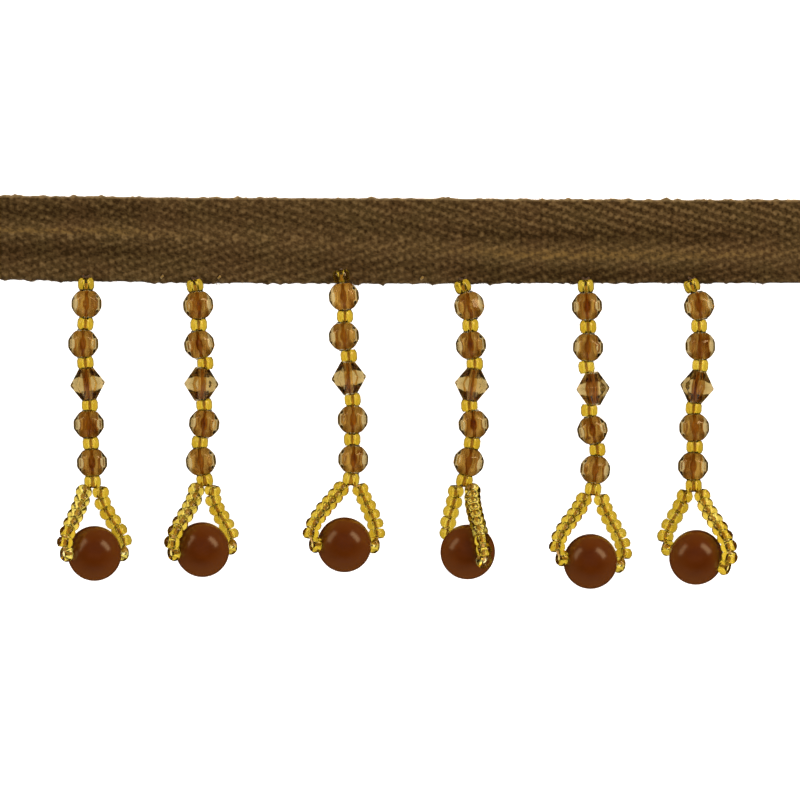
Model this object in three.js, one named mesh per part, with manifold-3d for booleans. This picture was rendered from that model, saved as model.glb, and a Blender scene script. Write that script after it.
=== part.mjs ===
// A cut length of beaded fringe: a woven herringbone tape with six bead drops sewn along its lower edge.
// The fringe lies face up on a flat surface. Millimetres: +X runs along the tape, +Y points from the
// drops to the tape's upper edge, +Z points up, off the surface.
import * as THREE from "three";
import { mergeVertices } from "three/addons/utils/BufferGeometryUtils.js";
import Module from "manifold-3d";

const wasm = await Module();
wasm.setup();

// Clearance between neighbouring pieces
const FIT_GAP = 0.3;

// Tape
const TAPE_LENGTH = 160;
const TAPE_THICKNESS = 1.2;
const SELVEDGE_THINNING = 0.25;
const SELVEDGE_SHARPNESS = 6;
const RIDGE_SPREAD = 1.9;
const TAPE_STEPS = { length: 36, width: 6 };
// One row for each section along the tape: where its edges run, and where and how high its soft ridge is
const TAPE_SECTIONS = [
  { x: -80, lower: 20.5, upper: 35.8, ridgeAt: 29.4, ridgeHeight: 0.45 },
  { x: -55, lower: 20.0, upper: 35.55, ridgeAt: 29.2, ridgeHeight: 0.4 },
  { x: -36, lower: 19.7, upper: 35.35, ridgeAt: 28.4, ridgeHeight: 0.15 },
  { x: 0, lower: 19.55, upper: 35.25, ridgeAt: 26.0, ridgeHeight: 0.15 },
  { x: 27, lower: 19.65, upper: 35.05, ridgeAt: 24.8, ridgeHeight: 0.45 },
  { x: 55, lower: 19.7, upper: 34.95, ridgeAt: 24.8, ridgeHeight: 0.4 },
  { x: 80, lower: 19.65, upper: 35.0, ridgeAt: 25.4, ridgeHeight: 0.3 },
];

// Thread
const THREAD_RADIUS = 0.28;
const ROOT_DEPTH = 1.5;
const ROOT_HEIGHT = 0.6;

// Beads. A round bead is an octagonal barrel with two bands of slanted facets at each end.
const BORE_RADIUS = 0.66;
const SEED = { sides: 6, radius: 1.5, rim: 0.7, length: 1.15 };
const ROUND = {
  sides: 8,
  radius: 2.8,
  girdle: 1.5,
  shoulderRadius: 2.4,
  shoulder: 3.5,
  endRadius: 1.55,
  length: 5.1,
};
const BICONE = { sides: 6, radius: 3.25, endRadius: 1.3, length: 5.8 };
const BALL = { sides: 16, bands: 10, radius: 5, halfBore: 4.9, flat: 0.2 };

// Order of the beads on a stem, from the tape downwards
const STEM = ["seed", "round", "seed", "round", "seed", "bicone", "seed", "round", "seed", "round", "seed"];

// One row for each drop.
// x: where it leaves the tape. rise: how far its first seed climbs onto the tape's face. slack: spare thread.
// lift: how far the ball is held off the surface by its own loop. sway: sideways place of each bead of STEM.
// ballX, ballDrop: the ball's place from x and below the last seed. turn, roll: how the ball's bore is turned
// about the length of the drop and on the surface, in degrees.
const DROPS = [
  { x: -57.1, rise: 0, slack: 0.6, lift: 0, ballX: 1.6, ballDrop: 13.0, turn: -30, roll: 0,
    sway: [0, 0.1, -0.1, -0.5, -0.1, 0.3, 0.7, 0.5, 0.9, 1.1, 1.2] },
  { x: -37.3, rise: 0, slack: 0, lift: 0, ballX: 1.4, ballDrop: 12.6, turn: -27, roll: 6,
    sway: [0, 0.6, 0.7, 0.8, 1.9, 1.2, 1.7, 1.7, 0.9, 1.1, 1.8] },
  { x: -10.7, rise: 2.2, slack: 1.9, lift: 0, ballX: 0.6, ballDrop: 11.9, turn: -24, roll: -1,
    sway: [0, 0.5, 0.7, 0.5, 1.4, 1.4, 2.1, 2.1, 2.0, 2.2, 1.8] },
  { x: 11.4, rise: 0, slack: 0, lift: 0.7, ballX: 0.9, ballDrop: 12.9, turn: 56, roll: -26,
    sway: [0, 1.2, 1.4, 1.5, 2.2, 1.7, 1.2, 2.0, 1.7, 1.1, 0.3] },
  { x: 33.8, rise: 0, slack: 1.6, lift: 0, ballX: 0.8, ballDrop: 13.1, turn: -24, roll: -7,
    sway: [0, 0.2, 0.4, 0.4, 0.1, 1.3, 0.6, 1.2, 2.1, 1.7, 1.3] },
  { x: 53.1, rise: 0, slack: 1.0, lift: 0, ballX: 0.7, ballDrop: 13.0, turn: 20, roll: -18.5,
    sway: [0, 1.3, 1.3, 1.5, 1.5, 0.9, 0.3, 0.4, 0.5, 0.2, 0.3] },
];

// One row for each leg of a drop's loop: a fork under the last seed of the stem, a curve of seeds, and where
// mouthSeed is set one more seed square on the mouth of the ball's bore. arm: how the curve sets out.
// hook: how it comes in, from the place of the mouth seed.
const LEGS = [
  { left: { seeds: 7, mouthSeed: true, arm: [-0.2, -4.0, 2.5], hook: [-1.5, 3.0, 3.0] },
    right: { seeds: 6, mouthSeed: true, arm: [0, -4.0, -0.6], hook: [2.6, 3.0, -0.9] } },
  { left: { seeds: 7, mouthSeed: true, arm: [0, -4.0, 2.2], hook: [-1.8, 3.4, 4.0] },
    right: { seeds: 6, mouthSeed: true, arm: [-0.4, -3.6, -0.6], hook: [2.0, 2.6, -1.2] } },
  { left: { seeds: 7, mouthSeed: true, arm: [-2.0, -2.8, 1.5], hook: [-3.0, 2.6, 1.8] },
    right: { seeds: 6, mouthSeed: true, arm: [0.8, -2.8, -0.5], hook: [2.2, 2.4, -1.4] } },
  { left: { seeds: 5, mouthSeed: false, arm: [-0.6, -3.2, -0.8], hook: [-2.5, 2.7, 1.7] },
    right: { seeds: 9, mouthSeed: true, arm: [-0.6, -4.2, 3.6], hook: [0.3, 4.4, 5.2] } },
  { left: { seeds: 7, mouthSeed: true, arm: [-0.7, -3.2, 1.0], hook: [-3.3, 3.2, 1.4] },
    right: { seeds: 7, mouthSeed: true, arm: [0.2, -4.0, -0.5], hook: [3.2, 3.4, -1.4] } },
  { left: { seeds: 5, mouthSeed: true, arm: [-0.4, -3.2, -0.5], hook: [-2.0, 2.4, -1.7] },
    right: { seeds: 8, mouthSeed: true, arm: [0, -4.0, 1.6], hook: [3.4, 4.2, 4.2] } },
];
const FORK = { aside: 0.6, below: 1.2 };
const LEG_START = { aside: 1.55, below: 1.4 };
const FIRST_LEG_SEED = 0.5;
const LAST_LEG_SEED = 2.35;
const MOUTH_SEED = 0.85;
const THREAD_END_IN_BALL = 0.4;

// Finishes
const TAPE_FINISH = { color: 0x523d22, roughness: 0.95, metalness: 0 };
const SEED_FINISH = { color: 0xd2a52c, roughness: 0.15, metalness: 0 };
const FACETED_FINISH = { color: 0x8a5a22, roughness: 0.1, metalness: 0 };
const BALL_FINISH = { color: 0x61300c, roughness: 0.2, metalness: 0 };

const UP = new THREE.Vector3(0, 0, 1);
const DOWN_DROP = new THREE.Vector3(0, -1, 0);
const MERGE_TOLERANCE = 1e-4;

// A closed three.js geometry as a solid that can be joined and cut
function solidOf(geometry) {
  const bare = new THREE.BufferGeometry();
  bare.setAttribute("position", geometry.getAttribute("position"));
  bare.setIndex(geometry.getIndex());
  const merged = mergeVertices(bare, MERGE_TOLERANCE);
  return new wasm.Manifold(new wasm.Mesh({
    numProp: 3,
    vertProperties: Float32Array.from(merged.getAttribute("position").array),
    triVerts: Uint32Array.from(merged.getIndex().array),
  }));
}

// A solid back as a geometry
function geometryOf(solid) {
  const { vertProperties, triVerts } = solid.getMesh();
  const geometry = new THREE.BufferGeometry();
  geometry.setAttribute("position", new THREE.BufferAttribute(vertProperties, 3));
  geometry.setIndex(new THREE.BufferAttribute(triVerts, 1));
  geometry.computeVertexNormals();
  return geometry;
}

function namedMesh(name, geometry, finish) {
  const mesh = new THREE.Mesh(geometry, new THREE.MeshStandardMaterial(finish));
  mesh.name = name;
  return mesh;
}

// A value of the tape's sections at a place along it, eased from one row to the next
function alongTape(column, x) {
  const last = TAPE_SECTIONS.length - 2;
  const found = TAPE_SECTIONS.findIndex((row) => row.x > x) - 1;
  const index = THREE.MathUtils.clamp(found < -1 ? last : found, 0, last);
  const before = TAPE_SECTIONS[index];
  const after = TAPE_SECTIONS[index + 1];
  const share = THREE.MathUtils.smoothstep(x, before.x, after.x);
  return THREE.MathUtils.lerp(before[column], after[column], share);
}

// Height of the tape's face: thinner at both selvedges, with a soft ridge running along it
function tapeFace(x, across, y) {
  const flat = TAPE_THICKNESS * (1 - SELVEDGE_THINNING * Math.abs(across) ** SELVEDGE_SHARPNESS);
  const fromRidge = (y - alongTape("ridgeAt", x)) / RIDGE_SPREAD;
  return flat + alongTape("ridgeHeight", x) * Math.exp(-fromRidge * fromRidge);
}

// The tape is a box whose points are moved to its uneven edges and its ridged face; the back stays flat
function tapeSolid() {
  const geometry = new THREE.BoxGeometry(TAPE_LENGTH, 2, 2, TAPE_STEPS.length, TAPE_STEPS.width, 1);
  const position = geometry.getAttribute("position");
  for (let index = 0; index < position.count; index += 1) {
    const x = position.getX(index);
    const across = position.getY(index);
    const y = THREE.MathUtils.lerp(alongTape("lower", x), alongTape("upper", x), (across + 1) / 2);
    const z = position.getZ(index) < 0 ? 0 : tapeFace(x, across, y);
    position.setXYZ(index, x, y, z);
  }
  return solidOf(geometry);
}

// The slit in the tape that a drop's thread is drawn into: in its lower edge, or behind it where the drop
// starts on the tape's face
function rootSlit(root) {
  const width = 2 * (THREAD_RADIUS + FIT_GAP);
  const depth = root.onFace ? width : 2 * (ROOT_DEPTH + FIT_GAP);
  const slit = new THREE.BoxGeometry(width, depth, 4 * TAPE_THICKNESS);
  slit.translate(root.x, root.y, 0);
  return solidOf(slit);
}

// A bead turned around the thread's bore, with a flat facet facing the surface. Its outline is given as pairs of
// radius and place along the bore, and starts and ends at the bore.
function boredBead(outline, sides) {
  const closed = [...outline, outline[0]].map(([radius, along]) => new THREE.Vector2(radius, along));
  return new THREE.LatheGeometry(closed, sides, Math.PI / sides);
}

function roundBead() {
  return boredBead([
    [BORE_RADIUS, -ROUND.length / 2],
    [ROUND.endRadius, -ROUND.length / 2],
    [ROUND.shoulderRadius, -ROUND.shoulder / 2],
    [ROUND.radius, -ROUND.girdle / 2],
    [ROUND.radius, ROUND.girdle / 2],
    [ROUND.shoulderRadius, ROUND.shoulder / 2],
    [ROUND.endRadius, ROUND.length / 2],
    [BORE_RADIUS, ROUND.length / 2],
  ], ROUND.sides);
}

function biconeBead() {
  return boredBead([
    [BORE_RADIUS, -BICONE.length / 2],
    [BICONE.endRadius, -BICONE.length / 2],
    [BICONE.radius, 0],
    [BICONE.endRadius, BICONE.length / 2],
    [BORE_RADIUS, BICONE.length / 2],
  ], BICONE.sides);
}

// The ball is a little shorter along its bore, and flat where it lies on the surface
function ballSolid(bore, centre) {
  const edgeAngle = Math.asin(BORE_RADIUS / BALL.radius);
  const outline = Array.from({ length: BALL.bands + 1 }, (unused, band) => {
    const angle = THREE.MathUtils.lerp(edgeAngle, Math.PI - edgeAngle, band / BALL.bands);
    return [BALL.radius * Math.sin(angle), -BALL.halfBore * Math.cos(angle)];
  });
  const geometry = boredBead(outline, BALL.sides);
  geometry.applyQuaternion(new THREE.Quaternion().setFromUnitVectors(DOWN_DROP, bore));
  geometry.translate(centre.x, centre.y, centre.z);
  const surface = new THREE.BoxGeometry(4 * BALL.radius, 4 * BALL.radius, 2 * BALL.radius);
  surface.translate(centre.x, centre.y, -BALL.radius);
  return solidOf(geometry).subtract(solidOf(surface));
}

// One station of a thread: where it is, which way the thread runs there, and how thick it is
function threadStation(centre, direction) {
  return { centre, direction, radius: THREAD_RADIUS };
}

// The stations of a seed bead on its thread: a flat rim between two slopes
function seedStations(centre, direction) {
  const steps = [
    [-SEED.length / 2, THREAD_RADIUS],
    [-SEED.rim / 2, SEED.radius],
    [SEED.rim / 2, SEED.radius],
    [SEED.length / 2, THREAD_RADIUS],
  ];
  return steps.map(([along, radius]) => {
    return { centre: centre.clone().addScaledVector(direction, along), direction, radius };
  });
}

// A thread with its seed beads, as one bar bent along its stations and as thick as each of them
function beadedThread(stations) {
  const rows = stations.length - 1;
  const geometry = new THREE.CylinderGeometry(1, 1, rows, SEED.sides, rows);
  const position = geometry.getAttribute("position");
  const back = new THREE.Vector3(0, -1, 0);
  const frame = new THREE.Quaternion();
  const frames = stations.map(({ direction }, index) => {
    const before = index === 0 ? back : stations[index - 1].direction;
    frame.premultiply(new THREE.Quaternion().setFromUnitVectors(before, direction));
    return frame.clone();
  });
  const point = new THREE.Vector3();
  for (let index = 0; index < position.count; index += 1) {
    const row = Math.round(rows / 2 - position.getY(index));
    const { centre, radius } = stations[row];
    point.fromBufferAttribute(position, index).setY(0).multiplyScalar(radius);
    point.applyQuaternion(frames[row]).add(centre);
    position.setXYZ(index, point.x, point.y, point.z);
  }
  return geometry;
}

const BEAD_LENGTH = { seed: SEED.length, round: ROUND.length, bicone: BICONE.length };
const BEAD_HEIGHT = {
  round: ROUND.radius * Math.cos(Math.PI / ROUND.sides),
  bicone: BICONE.radius * Math.cos(Math.PI / BICONE.sides),
};

// Centres of a stem's beads, stacked down from the tape's lower edge with equal gaps. Larger beads lie on the
// surface and carry the seeds between them; a drop that starts on the tape's face lies on the tape there.
function stemCentres(drop) {
  const gap = FIT_GAP + drop.slack / (STEM.length - 1);
  let y = alongTape("lower", drop.x) + drop.rise - FIT_GAP;
  const centres = STEM.map((kind, index) => {
    y -= BEAD_LENGTH[kind] / 2;
    const centre = new THREE.Vector3(drop.x + drop.sway[index], y, BEAD_HEIGHT[kind] ?? BEAD_HEIGHT.round);
    y -= BEAD_LENGTH[kind] / 2 + gap;
    return centre;
  });
  const onFace = drop.rise > 0;
  centres[0].z = SEED.radius + FIT_GAP + (onFace ? TAPE_THICKNESS : 0);
  centres[1].z += onFace ? TAPE_THICKNESS / 2 : 0;
  return centres;
}

// Where the thread goes into the tape: a slit in the lower edge, or one in the face behind a raised first seed
function stemRoot(drop, firstSeed) {
  const edge = alongTape("lower", drop.x);
  const onFace = drop.rise > 0;
  const y = onFace ? firstSeed.y + SEED.length / 2 + FIT_GAP + THREAD_RADIUS : edge;
  const inside = new THREE.Vector3(drop.x, onFace ? y : edge + ROOT_DEPTH, ROOT_HEIGHT);
  const mouth = new THREE.Vector3(drop.x, y, onFace ? firstSeed.z - SEED.radius / 2 : ROOT_HEIGHT);
  const direction = new THREE.Vector3().subVectors(mouth, inside).normalize();
  return { x: drop.x, y, onFace, stations: [threadStation(inside, direction), threadStation(mouth, direction)] };
}

const fringe = new THREE.Group();
let tape = tapeSolid();

DROPS.forEach((drop, number) => {
  const label = `drop${number + 1}`;
  const group = new THREE.Group();
  fringe.add(group);

  // Stem: each larger bead points from the seed above it to the seed below it
  const centres = stemCentres(drop);
  const root = stemRoot(drop, centres[0]);
  tape = tape.subtract(rootSlit(root));
  const axes = STEM.map((kind, index) => {
    const above = centres[Math.max(index - 1, 0)];
    const below = centres[Math.min(index + 1, STEM.length - 1)];
    return new THREE.Vector3().subVectors(below, above).setZ(0).normalize();
  });
  let rounds = 0;
  STEM.forEach((kind, index) => {
    if (kind === "seed") {
      return;
    }
    const isRound = kind === "round";
    rounds += isRound ? 1 : 0;
    const name = isRound ? `${label}_round${rounds}` : `${label}_bicone`;
    const bead = namedMesh(name, isRound ? roundBead() : biconeBead(), FACETED_FINISH);
    bead.position.copy(centres[index]);
    bead.quaternion.setFromUnitVectors(DOWN_DROP, axes[index]);
    group.add(bead);
  });
  const stemStations = STEM.flatMap((kind, index) => {
    if (kind === "seed") {
      return seedStations(centres[index], axes[index]);
    }
    const half = BEAD_LENGTH[kind] / 2;
    return [-half, half].map((along) => {
      return threadStation(centres[index].clone().addScaledVector(axes[index], along), axes[index]);
    });
  });
  const stem = beadedThread([...root.stations, ...stemStations]);
  group.add(namedMesh(`${label}_stem`, stem, SEED_FINISH));

  // Ball, with its bore turned as it lies
  const lastSeed = centres[centres.length - 1];
  const ballHeight = BALL.radius - BALL.flat + drop.lift;
  const ballCentre = new THREE.Vector3(drop.x + drop.ballX, lastSeed.y - drop.ballDrop, ballHeight);
  const turn = THREE.MathUtils.degToRad(drop.turn);
  const roll = THREE.MathUtils.degToRad(drop.roll);
  const bore = new THREE.Vector3(Math.cos(turn), 0, Math.sin(turn)).applyAxisAngle(UP, roll);
  group.add(namedMesh(`${label}_ball`, geometryOf(ballSolid(bore, ballCentre)), BALL_FINISH));

  // Legs: from under the last seed to the two mouths of the bore, and on into the ball
  for (const side of ["left", "right"]) {
    const leg = LEGS[number][side];
    const sign = side === "left" ? -1 : 1;
    const inward = bore.clone().multiplyScalar(-sign);
    const fork = lastSeed.clone().add(new THREE.Vector3(sign * FORK.aside, -FORK.below, 0));
    const start = lastSeed.clone().add(new THREE.Vector3(sign * LEG_START.aside, -LEG_START.below, 0));
    const mouthSeed = ballCentre.clone().addScaledVector(inward, -BALL.halfBore - MOUTH_SEED);
    const setOut = start.clone().add(new THREE.Vector3(...leg.arm));
    const comeIn = mouthSeed.clone().add(new THREE.Vector3(...leg.hook));
    const curve = new THREE.CubicBezierCurve3(start, setOut, comeIn, mouthSeed);
    const length = curve.getLength();
    const pitch = (length - FIRST_LEG_SEED - LAST_LEG_SEED) / (leg.seeds - 1);
    const legStations = Array.from({ length: leg.seeds }, (unused, index) => {
      const share = (FIRST_LEG_SEED + index * pitch) / length;
      return seedStations(curve.getPointAt(share), curve.getTangentAt(share));
    });
    const mouthStations = leg.mouthSeed ? seedStations(mouthSeed, inward) : [threadStation(mouthSeed, inward)];
    const threadEnd = ballCentre.clone().addScaledVector(inward, -THREAD_END_IN_BALL);
    const strand = beadedThread([
      threadStation(fork, new THREE.Vector3(sign, 0, 0)),
      ...legStations.flat(),
      ...mouthStations,
      threadStation(threadEnd, inward),
    ]);
    group.add(namedMesh(`${label}_leg_${side}`, strand, SEED_FINISH));
  }
});

fringe.add(namedMesh("tape", geometryOf(tape), TAPE_FINISH));

// The origin is on the surface, under the middle of the fringe
const middle = new THREE.Box3().setFromObject(fringe, true).getCenter(new THREE.Vector3());
fringe.position.set(-middle.x, -middle.y, 0);

export default fringe;
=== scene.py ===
"""A cut length of beaded fringe: six strung drops of glass beads sewn to a brown herringbone tape."""

import bpy
import numpy as np
from mathutils import Matrix, Vector


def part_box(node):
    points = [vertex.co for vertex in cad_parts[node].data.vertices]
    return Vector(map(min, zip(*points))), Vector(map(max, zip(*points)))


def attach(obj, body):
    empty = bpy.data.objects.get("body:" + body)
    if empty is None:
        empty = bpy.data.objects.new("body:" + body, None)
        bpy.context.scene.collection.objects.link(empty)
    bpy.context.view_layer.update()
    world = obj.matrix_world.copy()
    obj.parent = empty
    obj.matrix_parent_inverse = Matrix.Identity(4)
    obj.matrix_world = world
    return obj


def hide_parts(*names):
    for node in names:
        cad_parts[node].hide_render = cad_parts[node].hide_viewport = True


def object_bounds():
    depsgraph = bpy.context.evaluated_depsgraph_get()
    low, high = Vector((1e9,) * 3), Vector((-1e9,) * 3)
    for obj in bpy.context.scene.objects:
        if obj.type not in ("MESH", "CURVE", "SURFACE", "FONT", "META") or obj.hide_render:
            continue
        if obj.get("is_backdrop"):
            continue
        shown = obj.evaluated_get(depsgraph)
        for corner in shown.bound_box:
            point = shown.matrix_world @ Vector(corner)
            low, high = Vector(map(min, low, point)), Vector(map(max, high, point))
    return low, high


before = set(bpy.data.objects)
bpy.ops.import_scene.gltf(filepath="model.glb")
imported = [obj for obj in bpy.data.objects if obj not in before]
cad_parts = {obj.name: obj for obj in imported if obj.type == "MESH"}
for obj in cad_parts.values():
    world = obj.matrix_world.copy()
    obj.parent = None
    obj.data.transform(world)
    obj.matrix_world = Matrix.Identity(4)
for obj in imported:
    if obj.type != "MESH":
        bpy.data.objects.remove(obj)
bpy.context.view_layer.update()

# Tape
# A narrow cotton tape in herringbone twill, woven from brown spun yarn with firm selvedges.
# It lies face up with a low ripple along it, and is cut square at both ends. Sizes are in millimetres.
MM = 0.001
TAPE_LENGTH, TAPE_THICKNESS = 160.0, 1.2
SELVEDGE_THINNING, SELVEDGE_SHARPNESS = 0.25, 6
SELVEDGE_ROUND, ROUNDED_OFF, BACK_SHARE = 0.07, 0.8, 0.985
EDGE_BUMPS, TALLEST_BUMP, BUMP_BAND = 200, 0.2, 0.1
NARROWEST_BUMP, WIDEST_BUMP = 0.2, 0.7
# place along the tape, lower edge, upper edge, middle of the ripple, height of the ripple
TAPE_SECTIONS = np.array([
    (-80.0, 20.5, 35.8, 29.4, 0.45),
    (-55.0, 20.0, 35.55, 29.2, 0.4),
    (-36.0, 19.7, 35.35, 28.4, 0.15),
    (0.0, 19.55, 35.25, 26.0, 0.15),
    (27.0, 19.65, 35.05, 24.8, 0.45),
    (55.0, 19.7, 34.95, 24.8, 0.35),
    (80.0, 19.65, 35.0, 25.4, 0.12),
])
LOWER, UPPER, RIPPLE_AT, RIPPLE_HEIGHT = 1, 2, 3, 4
RIPPLE_SPREAD, HOLLOW_ASIDE, HOLLOW_SPREAD = 1.9, 3.6, 1.4
# the ripple's crest is narrower towards the left end: by what share, from where and over what length
CREST_NARROWING, NARROW_FROM, NARROW_OVER = 0.5, 35.0, 30.0

# yarns: warp ends across the tape and the end where the chevrons meet, how far inside the last end the face
# stops, and the pitch of the weft picks
ENDS, CHEVRON_END, END_CLEAR, STEPS_PER_END, BACK_STEPS = 38, 1, 0.01, 3, 14
PICK_PITCH, STEPS_PER_PICK = 1.27, 5
STATIONS = round(TAPE_LENGTH / PICK_PITCH) * STEPS_PER_PICK + 1
REPEAT, WEFT_MIDDLE, WARP_MIDDLE = 4, 1, 3
FLOAT_RELIEF, FLOAT_FLANK, HALFWAY = 0.16, 0.25, 0.5
# how the picks bow along the tape and slant across it, in picks, over lengths of the tape
PICK_BOW, BOW_LENGTH, BOW_START = 0.3, 6.5, 1.3
PICK_SLANT, SLANT_LENGTH = 0.2, 2.9
# how the ends wander, in ends: how far, turns along the tape, turns across it and start of each wave
END_WANDER = ((0.3, 3.9, 9, 0), (0.25, 6.1, -23, 1))
# factors that keep the numbers of the floats apart, and those that scramble a number
WEFT_NUMBER, WARP_NUMBER, SIDE_NUMBER = (3.7, 41), (5.3, 67), 0.9
SCRAMBLE_TURN, SCRAMBLE_REACH = 12.99, 437.5
# paler floats where the chevrons meet, which fade out to the right, and the ribs, stronger at the upper right
APEX_GLINT, APEX_ENDS, APEX_PICKS = 2.0, 1.15, 0.8
GLINT_FROM, GLINT_OVER = -10.0, 40.0
RIB_SHARE, RIB_MORE, RIB_FROM, RIB_OVER, RIB_ACROSS = 0.75, 0.6, -20.0, 60.0, 0.5

tape_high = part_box("tape")[1]
ORIGIN = np.array([0.0, tape_high.y / MM - TAPE_SECTIONS[:, UPPER].max(), 0.0])
chance = np.random.default_rng(11)


def fade(values, start, span):
    """A share that is 0 up to the start and rises evenly to 1 over the span."""
    return np.clip((values - start) / span, 0, 1)


def along_tape(column, x):
    """A value of the tape's sections at places along it, eased from one section to the next."""
    rows = TAPE_SECTIONS[:, 0]
    before = np.clip(np.searchsorted(rows, x, side="right") - 1, 0, len(rows) - 2)
    share = fade(x, rows[before], rows[before + 1] - rows[before])
    share = share * share * (3 - 2 * share)
    values = TAPE_SECTIONS[:, column]
    return values[before] + share * (values[before + 1] - values[before])


def herringbone(picks, ends):
    """The face of a herringbone twill, over yarns counted along the tape (picks) and from its middle (ends).
    A weft float spans two ends and a warp float two picks, and each pick is one end nearer the middle than
    the one before. A float is an arch along its yarn and round across it. Gives the height of the yarn on
    top from 0 to 1, whether it is weft, and a number for each float."""
    pick, from_middle = np.floor(picks), np.abs(ends)
    end = np.floor(from_middle)
    is_weft = np.mod(pick + end, REPEAT) < REPEAT / 2
    along_weft = np.mod(pick + from_middle, REPEAT) - WEFT_MIDDLE
    along_warp = np.mod(picks + end, REPEAT) - WARP_MIDDLE
    arch = np.sqrt(np.clip(1 - np.where(is_weft, along_weft, along_warp) ** 2, 0, 1))
    aside = np.where(is_weft, picks - pick, from_middle - end)
    height = arch * (FLOAT_FLANK + (1 - FLOAT_FLANK) * (1 - (2 * aside - 1) ** 2))
    weft_number = WEFT_NUMBER[0] * pick + WEFT_NUMBER[1] * np.floor((pick + from_middle) / REPEAT)
    warp_number = WARP_NUMBER[0] * end + WARP_NUMBER[1] * np.floor((picks + end) / REPEAT)
    return height, is_weft, np.where(is_weft, weft_number, warp_number) + SIDE_NUMBER * np.sign(ends)


def bumps(x):
    """Small bumps along an edge, where yarns turn at it: bell curves at random places, added up, less their
    mean."""
    places = chance.uniform(-TAPE_LENGTH / 2, TAPE_LENGTH / 2, EDGE_BUMPS)
    heights = chance.uniform(0, TALLEST_BUMP, EDGE_BUMPS)
    widths = chance.uniform(NARROWEST_BUMP, WIDEST_BUMP, EDGE_BUMPS)
    edge = (heights * np.exp(-((x - places) / widths) ** 2)).sum(axis=1, keepdims=True)
    return edge - edge.mean()


def ringed_mesh(name, rings, bored=False):
    """A mesh from points[copy, ring, place]: places run round a ring, and each ring is joined to the next.
    Where a bore runs through, the last ring is joined to the first; otherwise both end rings are filled."""
    copies, rows, sides = rings.shape[:3]
    place = np.arange(copies * rows * sides).reshape(copies, rows, sides)
    near = place if bored else place[:, :-1]
    far = np.roll(place, -1, axis=1) if bored else place[:, 1:]
    walls = np.stack([near, np.roll(near, -1, axis=2), np.roll(far, -1, axis=2), far], axis=-1)
    faces = walls.reshape(-1, 4).tolist()
    if not bored:
        faces += place[:, 0, ::-1].tolist() + place[:, -1].tolist()
    mesh = bpy.data.meshes.new(name)
    mesh.from_pydata(((rings.reshape(-1, 3) + ORIGIN) * MM).tolist(), [], faces)
    mesh.shade_smooth()
    return mesh


def point_values(mesh, name, values):
    """Keeps one number for each point of a mesh, for its material to read."""
    kept = mesh.attributes.new(name, "FLOAT", "POINT")
    kept.data.foreach_set("value", np.ravel(values).astype(np.float32))


def piece_of(mesh, material):
    """Puts a mesh into the scene under its own name, riding on the fringe."""
    mesh.materials.append(material)
    piece = bpy.data.objects.new(mesh.name, mesh)
    bpy.context.scene.collection.objects.link(piece)
    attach(piece, "root")
    return piece


def linear(colour):
    """An sRGB hex colour as linear red, green, blue and a full alpha."""
    shares = np.array([colour >> 16, colour >> 8 & 255, colour & 255]) / 255
    bright = ((shares + 0.055) / 1.055) ** 2.4
    return (*np.where(shares <= 0.04045, shares / 12.92, bright), 1.0)


def add(tree, kind, inputs, **settings):
    """Adds a node with its settings, and gives each input a value or a link to another node's output."""
    made = tree.nodes.new("ShaderNode" + kind)
    for name, value in settings.items():
        setattr(made, name, value)
    for socket, value in inputs.items():
        if isinstance(value, bpy.types.NodeSocket):
            tree.links.new(value, made.inputs[socket])
        else:
            made.inputs[socket].default_value = value
    return made


def material_of(name, **sockets):
    """A material by name with its shader's plain values; gives the material, its nodes and the shader."""
    material = bpy.data.materials.new(name)
    material.use_nodes = True
    shader = material.node_tree.nodes["Principled BSDF"]
    for socket, value in sockets.items():
        shader.inputs[socket.replace("_", " ").title().replace("Ior", "IOR")].default_value = value
    return material, material.node_tree, shader


# the section of the tape: its woven face from the upper selvedge to the lower one, and its flat back
x = np.linspace(-TAPE_LENGTH / 2, TAPE_LENGTH / 2, STATIONS)[:, None]
face = np.linspace(1, -1, ENDS * STEPS_PER_END + 1)
back = np.linspace(-BACK_SHARE, BACK_SHARE, BACK_STEPS)
across = np.concatenate([face, back])[None, :]
on_face = (np.arange(across.size) < face.size)[None, :]
bow = PICK_BOW * np.sin(x / BOW_LENGTH + BOW_START)
picks = x / PICK_PITCH + bow + PICK_SLANT * across * np.sin(x / SLANT_LENGTH)
wander = sum(far * np.sin(along * x + over * across + start) for far, along, over, start in END_WANDER)
ends = across * (ENDS / 2 - END_CLEAR) - CHEVRON_END + wander
relief, is_weft, float_number = herringbone(picks, ends)
lower, upper = along_tape(LOWER, x), along_tape(UPPER, x)
at_edge = fade(np.abs(across), 1 - BUMP_BAND, BUMP_BAND) ** 2 * np.sign(across)
edge_bumps = np.where(across > 0, bumps(x), bumps(x))
y = lower + (upper - lower) * (across + 1) / 2 + at_edge * edge_bumps
from_ripple = y - along_tape(RIPPLE_AT, x)
ripple_height = along_tape(RIPPLE_HEIGHT, x)
ripple = ripple_height * np.exp(-(from_ripple / RIPPLE_SPREAD) ** 2)
rounding = fade(np.abs(across), 1 - SELVEDGE_ROUND, SELVEDGE_ROUND)
flat = TAPE_THICKNESS * (1 - SELVEDGE_THINNING * np.abs(across) ** SELVEDGE_SHARPNESS) + ripple
height = (flat + FLOAT_RELIEF * (relief - HALFWAY)) * np.sqrt(1 - ROUNDED_OFF * rounding ** 2)
z = np.where(on_face, height, 0.0)
tape_mesh = ringed_mesh("tape_cloth", np.stack(np.broadcast_arrays(x, y, z), axis=-1)[None])

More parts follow.
